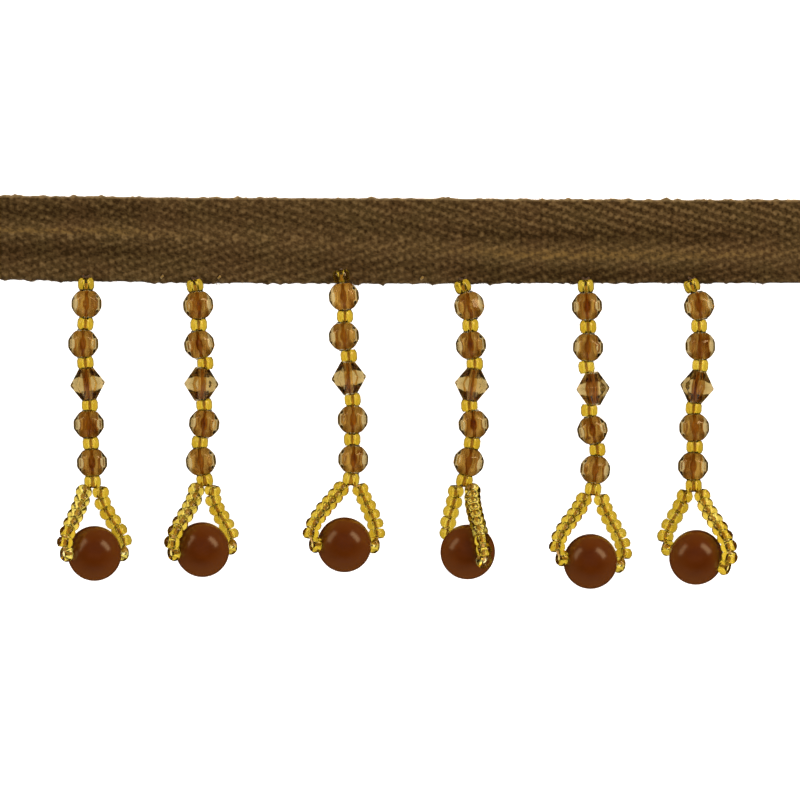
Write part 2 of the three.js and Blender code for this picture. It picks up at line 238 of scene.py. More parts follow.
# what the yarn's colour follows: the ripple's crest, painted paler as a highlight, between two hollows
# painted darker as shade, a number for each float, the height of the float, whether it is weft, and the paler
# upper selvedge
hollows = sum(np.exp(-((from_ripple - side * HOLLOW_ASIDE) / HOLLOW_SPREAD) ** 2) for side in (-1, 1))
crest_spread = HOLLOW_SPREAD * (1 - CREST_NARROWING * fade(-x, NARROW_FROM, NARROW_OVER))
crest = np.exp(-(from_ripple / crest_spread) ** 2)
ripple_light = (crest - hollows) * ripple_height / TAPE_SECTIONS[:, RIPPLE_HEIGHT].max()
yarn = np.modf(np.abs(np.sin(float_number * SCRAMBLE_TURN) * SCRAMBLE_REACH))[0]
at_apex = (np.abs(ends) < APEX_ENDS) & (np.mod(picks, REPEAT) < APEX_PICKS)
yarn = yarn + APEX_GLINT * at_apex * fade(-x, GLINT_FROM, GLINT_OVER)
ribs = RIB_SHARE + RIB_MORE * fade(x, RIB_FROM, RIB_OVER) * fade(across, 0, RIB_ACROSS)
selvedge = fade(across, 1 - SELVEDGE_ROUND, SELVEDGE_ROUND)
point_values(tape_mesh, "relief", np.where(on_face, relief, HALFWAY))
point_values(tape_mesh, "weft", np.where(on_face, HALFWAY + ribs * (is_weft - HALFWAY), HALFWAY))
point_values(tape_mesh, "ripple_light", np.broadcast_to(ripple_light, relief.shape))
point_values(tape_mesh, "yarn", yarn)
point_values(tape_mesh, "selvedge", np.broadcast_to(selvedge, relief.shape))

# Carded cotton yarn, dyed brown: dull, with uneven spun slubs nearly a millimetre long; the gaps between the
# yarns are painted dark as shade and the top of each float painted paler as a highlight
YARN_SHADE, YARN_OLIVE, YARN_RED = 0x291A02, 0x46361A, 0x47341A
# the gold is a painted highlight, laid on the ripple's crest
YARN_LIGHT, CREST_HIGHLIGHT, YARN_PALE = 0x715B39, 0x765D32, 0xA08C64
SLUB_LENGTH, FIBRE_LENGTH, DYE_PATCH = 0.7, 0.2, 7.0
SLUB_BUMP, FIBRE_SHARE = 0.12, 0.5
# how dark the yarn starts, and how much its slubs and the tape's own values lighten it
SHADE_START, SLUB_SHADE = -0.56, 1.25
# the floats' height paints shade between them and a highlight on top; the ripple's values paint its crest and
# hollows
FLOAT_SHADES = (("relief", 0.42), ("weft", 0.3), ("yarn", 0.12), ("ripple_light", 0.28))
cotton, tree, shader = material_of("brown_cotton_twill", roughness=0.92, sheen_weight=0.04,
                                   sheen_roughness=0.5, specular_ior_level=0.15)
at = add(tree, "TexCoord", {}).outputs["Object"]
slub = add(tree, "TexNoise", {"Vector": at, "Scale": 1 / (SLUB_LENGTH * MM), "Detail": 2.0}).outputs["Fac"]
fibre = add(tree, "TexNoise", {"Vector": at, "Scale": 1 / (FIBRE_LENGTH * MM), "Detail": 1.0}).outputs["Fac"]
patch = add(tree, "TexNoise", {"Vector": at, "Scale": 1 / (DYE_PATCH * MM), "Detail": 1.0}).outputs["Fac"]
shade = add(tree, "Math", {0: slub, 1: SLUB_SHADE, 2: SHADE_START}, operation="MULTIPLY_ADD").outputs[0]
for name, strength in FLOAT_SHADES:
    part = add(tree, "Attribute", {}, attribute_name=name).outputs["Fac"]
    shade = add(tree, "Math", {0: part, 1: strength, 2: shade}, operation="MULTIPLY_ADD").outputs[0]
deep = add(tree, "MapRange", {"Value": shade, "From Min": 0.08, "From Max": 0.5}).outputs[0]
high = add(tree, "MapRange", {"Value": shade, "From Min": 0.5, "From Max": 1.2}).outputs[0]
hue = add(tree, "MapRange", {"Value": patch, "From Min": 0.35, "From Max": 0.65}).outputs[0]
brown = add(tree, "Mix", {0: hue, 6: linear(YARN_OLIVE), 7: linear(YARN_RED)}, data_type="RGBA").outputs[2]
brown = add(tree, "Mix", {0: deep, 6: linear(YARN_SHADE), 7: brown}, data_type="RGBA").outputs[2]
# painted highlight: on the ripple's crest the lightest yarn turns golden
lit_crest = add(tree, "Attribute", {}, attribute_name="ripple_light").outputs["Fac"]
lit_crest = add(tree, "MapRange", {"Value": lit_crest, "From Min": 0.2, "From Max": 0.9}).outputs[0]
highlight_colour = add(tree, "Mix", {0: lit_crest, 6: linear(YARN_LIGHT), 7: linear(CREST_HIGHLIGHT)},
            data_type="RGBA").outputs[2]
brown = add(tree, "Mix", {0: high, 6: brown, 7: highlight_colour}, data_type="RGBA").outputs[2]
# the upper selvedge turns paler in patches, where the slubs are light
pale_edge = add(tree, "Attribute", {}, attribute_name="selvedge").outputs["Fac"]
pale_edge = add(tree, "Math", {0: pale_edge, 1: slub}, operation="MULTIPLY").outputs[0]
brown = add(tree, "Mix", {0: pale_edge, 6: brown, 7: linear(YARN_PALE)}, data_type="RGBA").outputs[2]
tree.links.new(brown, shader.inputs["Base Color"])
spun = add(tree, "Math", {0: fibre, 1: FIBRE_SHARE, 2: slub}, operation="MULTIPLY_ADD").outputs[0]
bump = add(tree, "Bump", {"Height": spun, "Strength": 0.5, "Distance": SLUB_BUMP * MM}).outputs[0]
tree.links.new(bump, shader.inputs["Normal"])

tape = piece_of(tape_mesh, cotton)
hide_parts("tape")

# Threads
# Brown two-ply polyester thread, sewn into the tape's lower edge and run down through the beads of a drop.
# Under the last seed it parts into two legs, which go into the ball from both sides.
FIT_GAP = 0.3
THREAD_RADIUS, THREAD_SIDES, PLY_TWIST, PLY_SWELL = 0.27, 8, 1.2, 0.14
STEM_STATIONS, ROOT_STATIONS, LEG_STATIONS, CURVE_POINTS = 200, 14, 90, 401
# a direction that no bore or thread runs along
NEARLY_UP = np.array([0.02, 0.01, 1.0])
SEED_RADIUS, SEED_LENGTH, ROUND_LENGTH, BICONE_LENGTH = 1.5, 1.15, 5.1, 5.8
ROUND_HEIGHT, BICONE_HEIGHT = 2.7, 3.0
SEEDS_OF_STEM, ROUNDS_OF_STEM, BICONE_OF_STEM = [0, 2, 4, 6, 8, 10], [1, 3, 7, 9], [5]
# how far the first seed rides up on the tape's edge, and the share of that for each of the first beads
OVER_EDGE, OVER_EDGE_SHARES = 0.38, np.array([1.0, 0.8, 0.4])
# aside, above the edge and height of each point of a root, and how far under its seed a root on the face ends
ROOT_HEIGHT, UNDER_SEED = 0.6, 0.6
ROOT_PATH = np.array([(0, 1.6, ROOT_HEIGHT), (0, 0.85, 0.7), (0, 0.55, 1.5)])
BALL_RADIUS, BALL_HALF_BORE, BALL_FLAT = 5.0, 4.9, 0.2
# from the last seed to where the thread parts and to where a leg begins
FORK, LEG_START = (0.6, -1.2, 0.0), (1.55, -1.4, 0.0)
# lengths of thread before the first seed of a leg, after its last one and from the ball to the mouth seed,
# and how far short of the ball's middle a leg's thread stops
FIRST_LEG_SEED, LAST_LEG_SEED, MOUTH_SEED, LEG_STOP = 0.5, 2.35, 0.85, 0.4
LEG_SEED_SHARE, MOUTH_SEED_HALF = 0.47, 0.8
# place along the tape, start above its edge, slack, lift of the ball, ball aside, ball below,
# turn and roll of the ball's bore
DROPS = np.array([
    (-57.1, 0.0, 0.6, 0.0, 1.6, 13.0, -30.0, 0.0),
    (-37.3, 0.0, 0.0, 0.0, 1.4, 12.6, -27.0, 6.0),
    (-10.7, 2.2, 1.9, 0.0, 0.6, 11.9, -24.0, -1.0),
    (11.4, 0.0, 0.0, 0.7, 0.9, 12.9, 56.0, -26.0),
    (33.8, 0.0, 1.6, 0.0, 0.8, 13.1, -24.0, -7.0),
    (53.1, 0.0, 1.0, 0.0, 0.7, 13.0, 20.0, -18.5),
])
# how far each bead of a stem lies aside
SWAY = np.array([
    (0, 0.1, -0.1, -0.5, -0.1, 0.3, 0.7, 0.5, 0.9, 1.1, 1.2),
    (0, 0.6, 0.7, 0.8, 1.9, 1.2, 1.7, 1.7, 0.9, 1.1, 1.8),
    (0, 0.5, 0.7, 0.5, 1.4, 1.4, 2.1, 2.1, 2.0, 2.2, 1.8),
    (0, 1.2, 1.4, 1.5, 2.2, 1.7, 1.2, 2.0, 1.7, 1.1, 0.3),
    (0, 0.2, 0.4, 0.4, 0.1, 1.3, 0.6, 1.2, 2.1, 1.7, 1.3),
    (0, 1.3, 1.3, 1.5, 1.5, 0.9, 0.3, 0.4, 0.5, 0.2, 0.3),
])
# seeds on a leg, whether one sits at the ball, and how the leg sets out and comes in;
# the left and the right leg of each drop
LEGS = [
    (7, True, (-0.2, -4.0, 2.5), (-1.5, 3.0, 3.0)), (6, True, (-0.8, -4.0, -0.6), (2.1, 3.0, -0.9)),
    (7, True, (0.0, -4.0, 2.2), (-1.8, 3.4, 4.0)), (6, True, (-1.2, -3.6, -0.6), (1.6, 2.6, -1.2)),
    (7, True, (-2.0, -2.8, 1.5), (-3.0, 2.6, 1.8)), (6, True, (0.8, -2.8, -0.5), (2.2, 2.4, -1.4)),
    (5, False, (0.1, -3.4, -0.8), (-2.2, 2.9, 1.7)), (9, True, (-0.6, -4.2, 3.6), (0.3, 4.4, 5.2)),
    (7, True, (-0.7, -3.2, 1.0), (-3.3, 3.2, 1.4)), (7, True, (0.2, -4.0, -0.5), (3.2, 3.4, -1.4)),
    (5, True, (-0.4, -3.2, -0.5), (-2.0, 2.4, -1.7)), (8, True, (0.0, -4.0, 1.6), (3.4, 4.2, 4.2)),
]
drop_x, rise, slack, lift, ball_aside, ball_below, turn, roll = DROPS.T


def unit(vectors):
    """Vectors of length one in the same directions."""
    return vectors / np.linalg.norm(vectors, axis=-1, keepdims=True)


def bezier(a, b, c, d, t):
    """A cubic curve from a to d that sets out towards b and comes in from c: its points and directions."""
    t = np.asarray(t)[..., None]
    points = (1 - t) ** 3 * a + 3 * (1 - t) ** 2 * t * b + 3 * (1 - t) * t ** 2 * c + t ** 3 * d
    directions = (1 - t) ** 2 * (b - a) + 2 * (1 - t) * t * (c - b) + t ** 2 * (d - c)
    return points, unit(directions)


def lengths_along(points):
    """The length of a path from its first point to each of its points."""
    steps = np.linalg.norm(np.diff(points, axis=0), axis=1)
    return np.concatenate([[0.0], np.cumsum(steps)])


def framed(axis):
    """Two directions square to an axis, the second as near to upright as it can be."""
    upright = unit(NEARLY_UP - axis * (axis @ NEARLY_UP)[..., None])
    return np.cross(upright, axis), upright


def twisted_thread(path, stations, thickness):
    """A thread of two plies carried along a path: its radius swells twice round the thread, and the swelling
    turns once in a length of the twist."""
    length = lengths_along(path)
    along = np.linspace(0, length[-1], stations)
    middle = np.stack([np.interp(along, length, path[:, k]) for k in range(3)], axis=-1)
    side, upright = framed(unit(np.gradient(middle, axis=0)))
    angle = np.linspace(0, 2 * np.pi, THREAD_SIDES, endpoint=False)[None, :]
    radius = thickness * (1 + PLY_SWELL * np.cos(2 * angle - 4 * np.pi * along[:, None] / PLY_TWIST))
    around = np.cos(angle)[..., None] * side[:, None] + np.sin(angle)[..., None] * upright[:, None]
    return middle[:, None] + radius[..., None] * around


def partly_of(mesh, material, faces):
    """Gives the marked faces of a mesh a second material."""
    mesh.materials.append(material)
    mesh.polygons.foreach_set("material_index", faces.astype(np.int32))


# where each bead of a stem sits, and the way its bore runs
drops, beads_of_stem = SWAY.shape
bead_lengths = np.full(beads_of_stem, SEED_LENGTH)
bead_lengths[ROUNDS_OF_STEM] = ROUND_LENGTH
bead_lengths[BICONE_OF_STEM] = BICONE_LENGTH
bead_heights = np.full(beads_of_stem, ROUND_HEIGHT)
bead_heights[BICONE_OF_STEM] = BICONE_HEIGHT
bead_gap = FIT_GAP + slack[:, None] / (beads_of_stem - 1)
edge = along_tape(LOWER, drop_x)
below_edge = np.cumsum(bead_lengths + bead_gap, axis=1) - bead_gap - bead_lengths / 2
stem = np.stack([drop_x[:, None] + SWAY, (edge + rise - FIT_GAP)[:, None] - below_edge,
                 np.broadcast_to(bead_heights, SWAY.shape)], axis=-1)
on_tape = np.where(rise > 0, TAPE_THICKNESS, 0.0)
stem[:, 0, 2] = SEED_RADIUS + FIT_GAP + on_tape
stem[:, 1, 2] += on_tape / 2
stem[rise == 0, :len(OVER_EDGE_SHARES), 1] += OVER_EDGE * OVER_EDGE_SHARES
stem[rise == 0, 0, 2] += OVER_EDGE
bead_above = np.concatenate([stem[:, :1], stem[:, :-1]], axis=1)
bead_under = np.concatenate([stem[:, 1:], stem[:, -1:]], axis=1)
stem_axis = unit((bead_under - bead_above) * (1, 1, 0))

last_seed = stem[:, -1]
ball_y, ball_z = last_seed[:, 1] - ball_below, BALL_RADIUS - BALL_FLAT + lift
ball = np.stack([drop_x + ball_aside, ball_y, ball_z], axis=-1)
turned, rolled = np.radians(turn), np.radians(roll)
bore = np.stack([np.cos(turned) * np.cos(rolled), np.cos(turned) * np.sin(rolled), np.sin(turned)], axis=-1)

leg_seeds, leg_axes, leg_halves, leg_threads = [], [], [], []
for number, (seeds, at_mouth, arm, hook) in enumerate(LEGS):
    drop, sign = number // 2, (-1, 1)[number % 2]
    inward = -sign * bore[drop]
    fork = last_seed[drop] + np.array(FORK) * (sign, 1, 1)
    begin = last_seed[drop] + np.array(LEG_START) * (sign, 1, 1)
    mouth = ball[drop] - inward * (BALL_HALF_BORE + MOUTH_SEED)
    knots = begin, begin + arm, mouth + hook, mouth
    fine = np.linspace(0, 1, CURVE_POINTS)
    curve, _ = bezier(*knots, fine)
    length = lengths_along(curve)
    pitch = (length[-1] - FIRST_LEG_SEED - LAST_LEG_SEED) / (seeds - 1)
    at_seed = np.interp(FIRST_LEG_SEED + pitch * np.arange(seeds), length, fine)
    centres, axes = bezier(*knots, at_seed)
    leg_seeds.append(centres)
    leg_axes.append(axes)
    leg_halves.append(np.full(seeds, LEG_SEED_SHARE * pitch))
    if at_mouth:
        leg_seeds.append(mouth[None])
        leg_axes.append(inward[None])
        leg_halves.append(np.array([MOUTH_SEED_HALF]))
    leg_path = np.vstack([last_seed[drop], fork, curve, ball[drop] - inward * LEG_STOP])
    leg_threads.append(twisted_thread(leg_path, LEG_STATIONS, THREAD_RADIUS))

stem_threads = []
for drop in range(drops):
    first = stem[drop, 0]
    if rise[drop] > 0:
        root_y = first[1] + SEED_LENGTH / 2 + FIT_GAP + THREAD_RADIUS
        root = np.array([(drop_x[drop], root_y, ROOT_HEIGHT), (drop_x[drop], root_y, first[2] - UNDER_SEED)])
    else:
        root = ROOT_PATH + (drop_x[drop], edge[drop], 0)
    half = stem_axis[drop] * bead_lengths[:, None] / 2
    through = np.stack([stem[drop] - half, stem[drop], stem[drop] + half], axis=1).reshape(-1, 3)
    stem_threads.append(twisted_thread(np.concatenate([root, through]), STEM_STATIONS, THREAD_RADIUS))

THREAD_SLUB, THREAD_BUMP = 0.4, 0.05


def sewing_thread(name, dark, light):
    """Spun polyester thread in a range of browns: a slight gloss along the plies and a little fluff."""
    stuff, tree, shader = material_of(name, roughness=0.6, sheen_weight=0.2)
    at = add(tree, "TexCoord", {}).outputs["Object"]
    uneven = add(tree, "TexNoise", {"Vector": at, "Scale": 1 / (THREAD_SLUB * MM),
                                    "Detail": 1.0}).outputs["Fac"]
    brown = add(tree, "Mix", {0: uneven, 6: linear(dark), 7: linear(light)}, data_type="RGBA").outputs[2]
    tree.links.new(brown, shader.inputs["Base Color"])
    bump = add(tree, "Bump", {"Height": uneven, "Strength": 0.3, "Distance": THREAD_BUMP * MM}).outputs[0]
    tree.links.new(bump, shader.inputs["Normal"])
    return stuff


# The thread is painted two ways: a paler brown in the beads, for the light that comes through them, and
# darker at the roots, as painted shade
lit_thread_stuff = sewing_thread("brown_sewing_thread", dark=0xC48F4A, light=0xF2C66E)
shaded_thread_stuff = sewing_thread("shaded_brown_sewing_thread", dark=0x33210A, light=0x5A3C12)

stem_mesh = ringed_mesh("stem_threads", np.stack(stem_threads))
stem_thread = piece_of(stem_mesh, lit_thread_stuff)
in_root = np.repeat(np.arange(STEM_STATIONS - 1) < ROOT_STATIONS, THREAD_SIDES)
end_faces = np.repeat([True, False], drops)
partly_of(stem_mesh, shaded_thread_stuff, np.concatenate([np.tile(in_root, drops), end_faces]))
leg_thread = piece_of(ringed_mesh("leg_threads", np.stack(leg_threads)), lit_thread_stuff)

# Stitches
# Thread shows on the face of the tape as well: two short stitches part from the root of each drop, darkened
# as painted shade, and lone golden brown ones come up here and there as the thread runs on inside the lower
# edge.
STITCH_RADIUS, STITCH_STATIONS = 0.2, 24
LONE_STITCHES = np.array([-43.3, -32.9, 4.0])
# aside, above the edge and height of each point of a stitch
ROOT_STITCH = np.array([
    (0.05, 0.05, 1.95), (0.2, 0.45, 1.55), (0.42, 0.85, 1.3), (0.5, 1.0, 1.2), (0.52, 1.05, 0.7)])
LONE_STITCH = np.array([
    (-0.16, 0.9, 0.7), (-0.14, 0.95, 1.35), (0.0, 1.1, 1.5), (0.14, 1.25, 1.35), (0.16, 1.3, 0.7)])

root_paths = [ROOT_STITCH * (side, 1, 1) + (drop_x[drop], edge[drop], 0)
              for drop in np.flatnonzero(rise == 0) for side in (-1, 1)]
lone_paths = [LONE_STITCH + (place, along_tape(LOWER, place), 0) for place in LONE_STITCHES]
root_stitches = np.stack([twisted_thread(path, STITCH_STATIONS, STITCH_RADIUS) for path in root_paths])
lone_stitches = np.stack([twisted_thread(path, STITCH_STATIONS, STITCH_RADIUS) for path in lone_paths])
stitch_stuff = sewing_thread("gold_brown_sewing_thread", dark=0x6E5418, light=0x9A7A2C)
root_stitch = piece_of(ringed_mesh("root_stitches", root_stitches), shaded_thread_stuff)
lone_stitch = piece_of(ringed_mesh("lone_stitches", lone_stitches), stitch_stuff)

# Fluff
# Loose ends of cotton fibre that stand out of both selvedges of the tape.
# They are drawn about twice as thick as real ones, so that they show.
FIBRES, FIBRE_END = 600, 79
FIBRE_RADIUS, FIBRE_SIDES, FIBRE_STATIONS = 0.022, 3, 5
LEAST_INSIDE, MOST_INSIDE, ABOVE_INSIDE = 0.1, 0.6, 0.2
# least and greatest reach along the tape, out of it and upwards, and the curl on the way
LEAST_REACH, GREATEST_REACH, FIBRE_CURL = (-0.9, 0.4, -0.2), (0.9, 1.4, 0.4), 0.22
FIRST_BEND, SECOND_BEND = 0.4, 0.8
fibre_side = np.where(np.arange(FIBRES) % 2, 1.0, -1.0)
fibre_x = chance.uniform(-FIBRE_END, FIBRE_END, FIBRES)
inside = chance.uniform(LEAST_INSIDE, MOST_INSIDE, FIBRES)
selvedge_y = np.where(fibre_side > 0, along_tape(UPPER, fibre_x), along_tape(LOWER, fibre_x))
roots = np.stack([fibre_x, selvedge_y - fibre_side * inside, inside + ABOVE_INSIDE], axis=-1)[:, None]
reach = chance.uniform(LEAST_REACH, GREATEST_REACH, (FIBRES, 3))
reach = (reach * np.stack([np.ones(FIBRES), fibre_side, np.ones(FIBRES)], axis=-1))[:, None]
curl = chance.normal(0, FIBRE_CURL, (2, FIBRES, 1, 3))
first_bend, second_bend = roots + reach * FIRST_BEND + curl[0], roots + reach * SECOND_BEND + curl[1]
along_fibre = np.linspace(0, 1, FIBRE_STATIONS)
fibre_middle, fibre_way = bezier(roots, first_bend, second_bend, roots + reach, along_fibre)
fibre_middle[..., 2] = np.maximum(fibre_middle[..., 2], FIBRE_RADIUS)
sideways, upright = framed(fibre_way)
angle = np.linspace(0, 2 * np.pi, FIBRE_SIDES, endpoint=False)[:, None]
around = np.cos(angle) * sideways[:, :, None] + np.sin(angle) * upright[:, :, None]
fibre_rings = fibre_middle[:, :, None] + FIBRE_RADIUS * around

# Single cotton fibres, brown with pale patches painted at random for the light that comes through them
FIBRE_BROWN, FIBRE_PALE, LIT_PATCH = 0x5A4626, 0xA89270, 1.5
fluff_stuff, tree, shader = material_of("cotton_fibre", roughness=0.9, specular_ior_level=0.2)
at = add(tree, "TexCoord", {}).outputs["Object"]
lit_through = add(tree, "TexNoise", {"Vector": at, "Scale": 1 / (LIT_PATCH * MM), "Detail": 1.0}).outputs["Fac"]
brown = add(tree, "Mix", {0: lit_through, 6: linear(FIBRE_BROWN), 7: linear(FIBRE_PALE)},
            data_type="RGBA").outputs[2]
tree.links.new(brown, shader.inputs["Base Color"])
fluff = piece_of(ringed_mesh("fluff", fibre_rings), fluff_stuff)

# Seed beads
# Small yellow seed beads, cut from drawn glass cane and tumbled round over a flame.
# One sits above and below every larger bead of a stem, and the rest are strung close together on the legs.
SEED_BORE, SEED_HALF = 0.45, 1.12
SEED_SPREAD, WIDEST_SPREAD = 0.03, 1.5
SEED_SIDES, SEED_RINGS = 16, 8
# a power under 1 makes a seed's wall squarer, and one over 1 more pointed
STEM_SEED_POWER, LEG_SEED_POWER = 0.9, 1.2
# rise of a bore from which a seed counts as steep
STEEP = 0.48


def strung(outline, centres, axes, sides, turned=0.0):
    """Beads on their thread: an outline of radius and place along the bore, turned round each bead's own
    axis. outline is [bead, ring, side, 2], or has one bead, or one side, where they are alike."""
    angle = np.linspace(0, 2 * np.pi, sides, endpoint=False)
    angle = (angle + np.reshape(turned, (-1, 1, 1)))[..., None]
    side, upright = framed(axes)
    around = np.cos(angle) * side[:, None, None] + np.sin(angle) * upright[:, None, None]
    radius, along = outline[..., 0, None], outline[..., 1, None]
    return centres[:, None, None] + radius * around + along * axes[:, None, None]


stem_seeds = stem[:, SEEDS_OF_STEM].reshape(-1, 3)
seed_centres = np.concatenate([stem_seeds, *leg_seeds])
seed_axes = np.concatenate([stem_axis[:, SEEDS_OF_STEM].reshape(-1, 3), *leg_axes])
seed_halves = np.concatenate([np.full(len(stem_seeds), SEED_HALF), *leg_halves])
spread = chance.standard_normal(len(seed_centres)).clip(-WIDEST_SPREAD, WIDEST_SPREAD)
seed_radii = SEED_RADIUS * (1 + SEED_SPREAD * spread)[:, None]
# the wall of a seed is a circle round the middle of the wall, with both of its waves raised to a power
on_stem = np.arange(len(seed_centres)) < len(stem_seeds)
power = np.where(on_stem, STEM_SEED_POWER, LEG_SEED_POWER)[:, None]
circle = np.linspace(0, 2 * np.pi, SEED_RINGS, endpoint=False) + np.pi / SEED_RINGS
outwards = np.sign(np.cos(circle)) * np.abs(np.cos(circle)) ** power
endwards = np.sign(np.sin(circle)) * np.abs(np.sin(circle)) ** power
half_wall = (SEED_RADIUS - SEED_BORE) / 2 / outwards.max(axis=1, keepdims=True)
seed_outline = np.stack([
    SEED_BORE + (seed_radii - SEED_BORE) / 2 + half_wall * outwards,
    seed_halves[:, None] * endwards / endwards.max(axis=1, keepdims=True),
], axis=-1)[:, :, None]
seed_rings = strung(seed_outline, seed_centres, seed_axes, SEED_SIDES)
seed_mesh = ringed_mesh("seed_beads", seed_rings, bored=True)
point_values(seed_mesh, "bead", np.repeat(chance.random(len(seed_centres)), SEED_RINGS * SEED_SIDES))

SODA_YELLOW, CANE_CLEAR, CANE_TINGED = 0xEDE482, 0xFFFFFF, 0xF0E8C4
CANE_WAVE, CANE_BUMP = 0.9, 0.1


def soda_glass(name, density):
    """Clear yellow soda glass: light comes through it golden, and deeper where it is thicker."""
    glass, tree, shader = material_of(name, roughness=0.14, ior=1.51, transmission_weight=1.0)
    tinge = add(tree, "Attribute", {}, attribute_name="bead").outputs["Fac"]
    tint = add(tree, "Mix", {0: tinge, 6: linear(CANE_CLEAR), 7: linear(CANE_TINGED)},
               data_type="RGBA").outputs[2]
    tree.links.new(tint, shader.inputs["Base Color"])
    at = add(tree, "TexCoord", {}).outputs["Object"]
    wavy = add(tree, "TexNoise", {"Vector": at, "Scale": 1 / (CANE_WAVE * MM), "Detail": 0.0}).outputs["Fac"]
    bump = add(tree, "Bump", {"Height": wavy, "Strength": 0.2, "Distance": CANE_BUMP * MM}).outputs[0]
    tree.links.new(bump, shader.inputs["Normal"])
    depth = add(tree, "VolumeAbsorption", {"Color": linear(SODA_YELLOW), "Density": density})
    tree.links.new(depth.outputs[0], tree.nodes["Material Output"].inputs["Volume"])
    return glass


# The seeds that ride up over a ball are seen along their bore; they get a paler copy of the glass, painted
# light that lifts the dark where light goes a long way through them
seed_beads = piece_of(seed_mesh, soda_glass("yellow_soda_glass", density=1750.0))
steep = np.repeat(np.abs(seed_axes[:, 2]) > STEEP, SEED_RINGS * SEED_SIDES)
partly_of(seed_mesh, soda_glass("lightened_yellow_soda_glass", density=1300.0), steep)
strung_nodes = "stem", "leg_left", "leg_right"
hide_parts(*[f"drop{n}_{part}" for n in range(1, 7) for part in strung_nodes])

# Faceted round beads
# Fire-polished beads of smoky topaz glass: pressed, cut with rows of facets, and heated until the cut edges
# melt. The bore is stained brown inside. Four hang on each stem.
ROUND_HALF, ROUND_RECESS, ROUND_CORE, ROUND_CORE_END = 2.7, 1.2, 1.25, 1.5
ROUND_FACETS, ROUND_MELT, ROUND_TURN = 8, 40, 0.15
# facets in a row, tilt towards an end of the bore, start in steps of the row, distance from the middle
ROUND_ROWS = (
    (ROUND_FACETS, 0, 0, 2.6),
    (ROUND_FACETS, 36, 0.5, 2.66), (ROUND_FACETS, -36, 0.5, 2.66),
    (ROUND_FACETS, 62, 0, 2.7), (ROUND_FACETS, -62, 0, 2.7),
    (1, 90, 0, ROUND_HALF), (1, -90, 0, ROUND_HALF),
)
CUT_RINGS, CUT_SIDES, CORE_RINGS, MOUTH_RINGS = 32, 60, 5, 4
BEAD_BORE, RECESS_DEPTH = 0.5, 0.3
# the mouth of a bore: its lip, its throat and the shoulder where the bore swells, and depths below the seat
LIP_WIDTH, LIP_DEPTH = 0.1, 0.06
THROAT_SHARE, THROAT_DEPTH = 0.9, 0.14
SHOULDER_SHARE, SHOULDER_DEPTH = 0.75, 0.2
CORE_DEPTH, MIDMOST_RING = 0.4, 0.1
# where shade is painted in the sides towards the ends: its share in the upper half, and from where and over
# what span, down and aside
UPPER_SHADE, SHADE_DOWN, SHADE_ASIDE = 0.45, (0.3, 0.2), (0.25, 0.25)


def facet_planes(rows):
    """Facets in rows round the bore: each direction is an even step round it, tilted from square to the bore
    towards its end. Gives the directions and the distances of the planes from the middle."""
    count, tilt, start, distance = np.array(rows).T
    row = np.repeat(np.arange(len(rows)), count.astype(int))
    step = np.concatenate([np.arange(n) for n in count])
    angle, tilted = 2 * np.pi * (step + start[row]) / count[row], np.radians(tilt[row])
    flat_reach = np.cos(tilted)
    directions = np.stack([flat_reach * np.cos(angle), flat_reach * np.sin(angle), np.sin(tilted)], axis=-1)
    return directions, distance[row]


def cut_bead(rows, melt, half, recess, core, core_end):
    """Outline of a cut bead as radius and place along the bore. In each direction from the middle the surface
    is at the nearest facet plane; a power of the planes' nearness, the lower the more, melts the edges. Both
    ends are countersunk to the bore, which swells inside and has a waist in the middle of the bead."""
    facets, distances = facet_planes(rows)
    edge_angle = np.arctan2(recess, half)
    angle = np.linspace(0, 2 * np.pi, CUT_SIDES, endpoint=False)
    polar = np.linspace(np.pi - edge_angle, edge_angle, CUT_RINGS)[:, None]
    ray = np.broadcast_arrays(np.sin(polar) * np.cos(angle), np.sin(polar) * np.sin(angle), np.cos(polar))
    nearness = np.clip(np.stack(ray, axis=-1) @ facets.T, 0, None) / distances
    reach = (nearness ** melt).sum(axis=-1) ** (-1 / melt)
    outer = np.stack([reach * np.sin(polar), reach * np.cos(polar)], axis=-1)
    seat = half - RECESS_DEPTH
    mouth = np.array([
        (recess - LIP_WIDTH, half - LIP_DEPTH), (BEAD_BORE, seat),
        (BEAD_BORE * THROAT_SHARE, seat - THROAT_DEPTH), (core_end * SHOULDER_SHARE, seat - SHOULDER_DEPTH)])
    to_waist = np.linspace(1, MIDMOST_RING, CORE_RINGS)
    swell = np.stack([core + (core_end - core) * to_waist ** 2, (seat - CORE_DEPTH) * to_waist], axis=-1)
    inner = np.concatenate([mouth, swell, swell[::-1] * (1, -1), mouth[::-1] * (1, -1)])
    return np.concatenate([outer, np.broadcast_to(inner[:, None], (len(inner), CUT_SIDES, 2))])[None]


